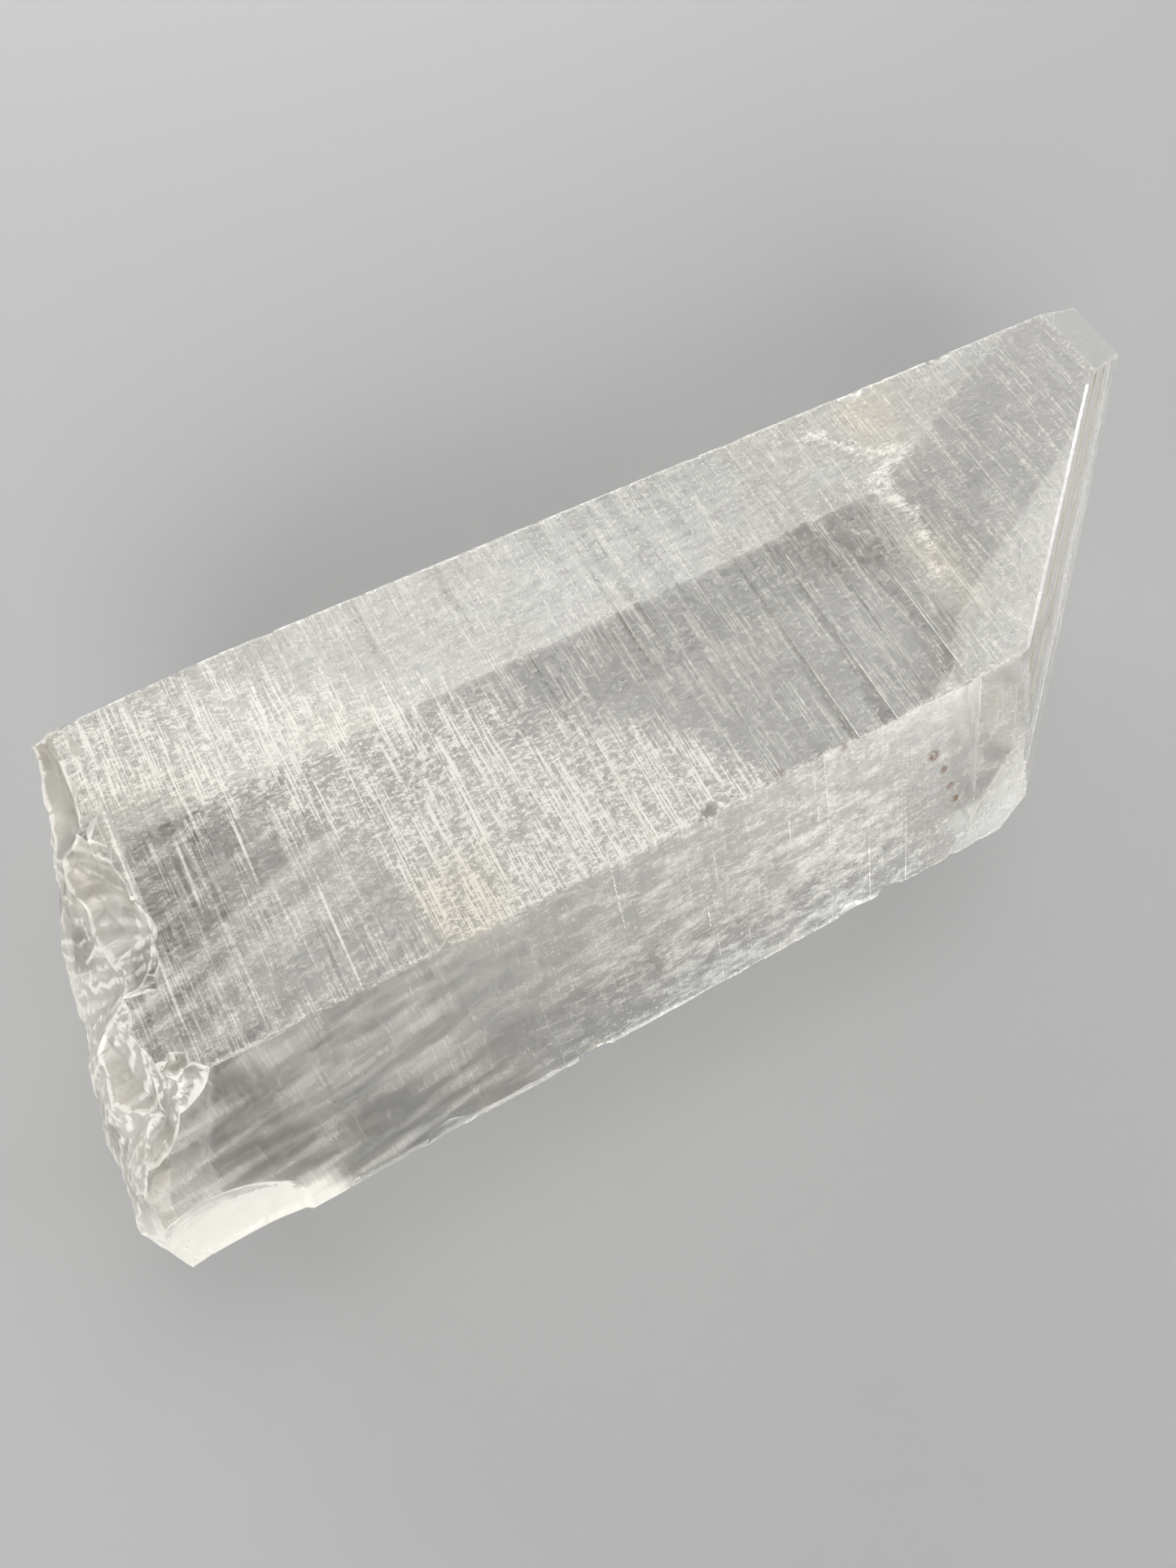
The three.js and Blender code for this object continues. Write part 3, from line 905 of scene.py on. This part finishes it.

# %% [markdown]
# The frosting is a sum. Hairlines, flecks and clouds belong to the skin, a painted sheen whitens
# a band of the top face, and faint wisps cross the half beside the break. Worn edges, bruises with
# a painted glow of light through them, the crushed edge under the point and a healed crack that
# reaches the top face are white marks of their own.

# %% Frosting of the growth faces


def skin_frost(f, hair, grain, blotch, patches):
    """How white the skin is, with a painted sheen on a band of the top face."""
    lined, groove_and_sheen = f.stored("lined"), f.stored("groove_and_sheen")
    bundle = f.noise(f.stretched(1, 0.2, 0.2), 1, 1)
    # The hairlines are whiter in the band across the top face, partly as painted sheen.
    lines = lined * hair.above(0.48, 0.6) * bundle.above(0.34, 0.6) * (0.3 + groove_and_sheen * 0.5)
    thick = 0.4 + patches.above(0.35, 0.6) * 0.3
    cloud = f.stored("clouded") * (blotch.above(0.36, 0.7) * thick + 0.2)
    flecks = f.stored("flecked") * grain.above(0.4, 0.72)
    # Painted sheen: extra white on the grain in the band across the top face.
    painted_sheen = groove_and_sheen * lined * (grain.above(0.42, 0.62) * 0.4 + 0.12)
    aslant = f.add("VectorRotate", {"rotation_type": "Z_AXIS"}, {"Vector": f.place, "Angle": -WISP_TURN})
    aslant = f.add("VectorMath", {"operation": "MULTIPLY"}, {0: aslant, 1: (0.06, 0.8, 0.8)})
    wisps = f.noise(aslant, 1, 1).above(0.38, 0.8) * (1 - groove_and_sheen) * f.x.below(-34, -24)
    return lines + cloud + flecks + painted_sheen + wisps * 0.3


def long_lines(f):
    """1 on the single growth lines, and 0 beside them."""
    total = 0
    upright = f.x - f.y * LINE_LEAN
    for x, start, stop in LONG_LINES:
        half = (stop - start) / 2
        line = upright.away_from(x - start * LINE_LEAN).below(0.03, 0.14)
        total = total + line * f.y.away_from(start + half).below(half - 1, half + 1)
    return total


def mark_frost(f, grain, blotch):
    """How white the marks of wear and healing are, with a painted glow at the bruised corner."""
    worn = (f.stored("worn") + grain * 0.8 - 0.4).above(0.65, 1.1)
    crushed = (f.x.away_from(UNDER_END_X) + f.z).below(0.6, 2.8)
    crushed = crushed * f.y.above(-3, 0) * grain.above(0.36, 0.5)
    away = f.beside(CRACK[0], CRACK[1])
    for start, stop in zip(CRACK[1:], CRACK[2:]):
        away = away.math("MINIMUM", f.beside(start, stop))
    crack = (grain * 3.6 + blotch * 4 - away - 3.1).above(0, 1.5)
    healed = crack * 0.7 + long_lines(f) * f.z.above(29, 30) * 0.45
    # The bruised corner's white is partly bruising and partly a painted glow of light through its frost.
    return worn * 0.35 + f.stored("bruise_and_glow") * 0.7 + f.stored("stained") * 0.15 + crushed * 1.5 + healed


# %% [markdown]
# The white shader is tinted: cream above, cooler near the table, pale yellow where iron has stained
# it, and dark where rusty specks sit in the skin. The hairlines also groove the surface through a
# bump, which is right here because they are finer than the mesh could carry.

# %% Growth face finish


def rust_specks(f, grain):
    """1 on the rusty specks. The first one is larger, so the way to it counts for less."""
    away = f.far_from(RUST_SPOTS[0]) * (RUST_REACH / FIRST_RUST_REACH)
    for place in RUST_SPOTS[1:]:
        away = away.math("MINIMUM", f.far_from(place))
    return away.below(RUST_REACH * 0.4, RUST_REACH) * grain.above(0.35, 0.5)


def growth_finish():
    f = Finish("quartz_growth_face")
    hair = f.noise(f.stretched(8, 0.25, 0.25), 1, 2, 0.7)
    grain = f.noise(f.stretched(2, 4.2, 4.2), 1, 3, 0.85)
    blotch = f.noise(f.stretched(0.38, 1, 1), 1, 3, 0.65)
    patches = f.noise(f.place, 0.09, 1)
    frost = skin_frost(f, hair, grain, blotch, patches) + mark_frost(f, grain, blotch)
    rust = rust_specks(f, grain)
    normal = f.bump(hair * f.stored("lined") * (0.25 + f.stored("groove_and_sheen") * 0.6), 0.6)
    clear = f.add("BsdfPrincipled", {}, {
        "Base Color": CLEAR, "Roughness": f.stored("haze") + grain.above(0.5, 0.8) * 0.06,
        "IOR": QUARTZ_IOR, "Transmission Weight": 1.0, "Normal": normal,
    })
    tint = f.blend(f.z.below(10, 24) * patches.above(0.35, 0.6), CREAM, COOL)
    tint = f.blend(rust, f.blend(f.stored("stained") * 0.8, tint, STAIN), RUST)
    white = f.add("BsdfPrincipled", {}, {
        "Base Color": tint, "Roughness": 0.6, "IOR": QUARTZ_IOR, "Transmission Weight": 0.3,
        "Normal": normal,
    })
    return f.close(clear, white, frost.math("MINIMUM", 0.85).math("MAXIMUM", rust * 0.8))


# %% [markdown]
# A break scatters more light than a grown face, so it looks like pale wax. Its ridges and its thin
# rim are the whitest, faint rays fan out from where the blow fell, and the corner beside the flake
# is bruised white, with a painted glow of light passing through its frost. The scars under the lip
# and the small chips elsewhere are glassier.

# %% Break finish


def break_finish():
    f = Finish("quartz_break")
    bruise_and_glow = f.stored("bruise_and_glow")
    grain = f.noise(f.place, 1.6, 3, 0.75)
    patches = f.noise(f.place, 0.16, 2)
    ray = (f.y - BLOW.y).math("ARCTAN2", BLOW.z - f.z)
    fan = f.noise(f.add("CombineXYZ", {}, {0: ray * 16, 1: f.z * 0.12}), 1, 2, 0.6)
    frost = f.stored("ridge").above(0.03, 0.3) * 0.5 + patches.above(0.4, 0.6) * 0.3
    # The bruised corner adds white: partly bruising, partly a painted glow of light through its frost.
    frost = frost + fan.above(0.48, 0.66) * 0.2 + grain.above(0.45, 0.7) * 0.1 + bruise_and_glow * 0.5
    frost = frost + 0.33 - f.z.above(16, 26) * 0.18
    frost = frost * f.x.mapped(-44, -40, 1, 0.5)
    normal = f.bump(grain * 0.5 + fan, 0.5, 0.00012)
    clear = f.add("BsdfPrincipled", {}, {
        "Base Color": CLEAR, "Roughness": 0.3 + grain * 0.25, "IOR": QUARTZ_IOR,
        "Transmission Weight": 1.0, "Normal": normal,
    })
    white = f.add("BsdfPrincipled", {}, {
        "Base Color": WHITE, "Roughness": 0.5, "IOR": QUARTZ_IOR, "Transmission Weight": 0.3,
        "Normal": normal,
    })
    return f.close(clear, white, frost.math("MINIMUM", 0.92))


# %% Dress the crystal
mesh.materials.append(growth_finish())
mesh.materials.append(break_finish())
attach(crystal, "root")
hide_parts(NODE)
print("finishes:", [m.name for m in mesh.materials])

# %% [markdown]
# The table is one pale, dull sheet. A clear crystal shows whatever lies behind it, so a plain table
# keeps what is seen through it calm. It stands a hair below the crystal, so that the two never
# share a plane.

# %% Table
TABLE_GAP = 0.1
TABLE_HALF = 5  # half its width, in metres
TABLE_COLOUR = (0.36, 0.36, 0.355, 1)


def table():
    bm = bmesh.new()
    bmesh.ops.create_grid(bm, x_segments=1, y_segments=1, size=TABLE_HALF)
    thing = solid_from(bm, "table")
    thing.location.z = -TABLE_GAP * MM
    f = Finish("table_paint")
    f.tree.nodes.clear()
    paint = f.add("BsdfPrincipled", {}, {"Base Color": TABLE_COLOUR, "Roughness": 0.7})
    output = f.tree.nodes.new("ShaderNodeOutputMaterial")
    feed(output.inputs["Surface"], paint)
    thing.data.materials.append(f.material)


table()
print("table gap:", TABLE_GAP, "mm")

# %% [markdown]
# Broad lamps stand around the crystal: they light its frosted far faces from outside, which then
# glow through the clear top. Light that has been turned inside the crystal many times, or that has
# left the dull table more than twice, adds only a shade of brightness, so it isn't followed to the
# end. Five lamps of much the same strength need no light tree to choose between them.

# %% Lamps
CLEAR_TURNS = 8
DULL_TURNS = 2
# Each lamp: place, target, width and height, all in metres, and power in watts.
LAMPS = {
    "lamp_over": ((0.2, 0.25, 0.9), (0, 0, 0.02), (0.6, 0.6), 2.4),
    "lamp_far": ((0.1, 0.75, 0.2), (0, 0, 0.01), (1.1, 0.35), 9),
    "lamp_near": ((-0.4, -0.65, 0.45), (0, 0, 0.01), (0.7, 0.5), 8),
    "lamp_left": ((-0.8, -0.1, 0.28), (0, 0, 0.01), (0.5, 0.4), 2),
    "lamp_right": ((0.75, -0.2, 0.2), (0, 0, 0.01), (0.6, 0.35), 3.5),
}


def lamp(name, place, target, size, watts):
    light = bpy.data.lights.new(name, "AREA")
    light.shape = "RECTANGLE"
    light.size, light.size_y = size
    light.energy = watts
    thing = bpy.data.objects.new(name, light)
    thing.location = place
    aim = Vector(target) - Vector(place)
    thing.rotation_euler = aim.to_track_quat("-Z", "Y").to_euler()
    bpy.context.scene.collection.objects.link(thing)


for name, settings in LAMPS.items():
    lamp(name, *settings)
world = bpy.data.worlds.new("room")
world.use_nodes = True
room = next(n for n in world.node_tree.nodes if n.type == "BACKGROUND")
room.inputs["Color"].default_value = (0.93, 0.95, 1, 1)
room.inputs["Strength"].default_value = 0.2
bpy.context.scene.world = world
light_paths = bpy.context.scene.cycles
light_paths.max_bounces = light_paths.transmission_bounces = CLEAR_TURNS
light_paths.diffuse_bounces = DULL_TURNS
light_paths.use_light_tree = False
bpy.context.scene.view_settings.view_transform = "Standard"

# %% [markdown]
# The camera looks down from some 10 cm above the table, from the near side and left of the middle.
# Its right, down and forward directions are given in full, which also fixes how far it is rolled.

# %% Camera
CAMERA_PLACE = (-34.7, -30.8, 98.4)
RIGHT, DOWN = (0.8728, -0.4839, 0.0656), (-0.4227, -0.8159, -0.3944)
AHEAD = (0.2444, 0.3164, -0.9166)
# The picture's height and the focal length, both in pixels, and the height of the sensor in mm.
IMAGE_HEIGHT = 1927
FOCAL = 1350
SENSOR = 36
lens = bpy.data.cameras.new("camera")
lens.sensor_width = SENSOR
lens.lens = FOCAL / IMAGE_HEIGHT * SENSOR
camera = bpy.data.objects.new("camera", lens)
turn = Matrix((RIGHT, [-v for v in DOWN], [-v for v in AHEAD])).transposed().to_4x4()
camera.matrix_world = Matrix.Translation(Vector(CAMERA_PLACE) * MM) @ turn
bpy.context.scene.collection.objects.link(camera)
bpy.context.scene.camera = camera
lens.clip_start = 0.005
print("lens:", round(lens.lens, 2), "mm")
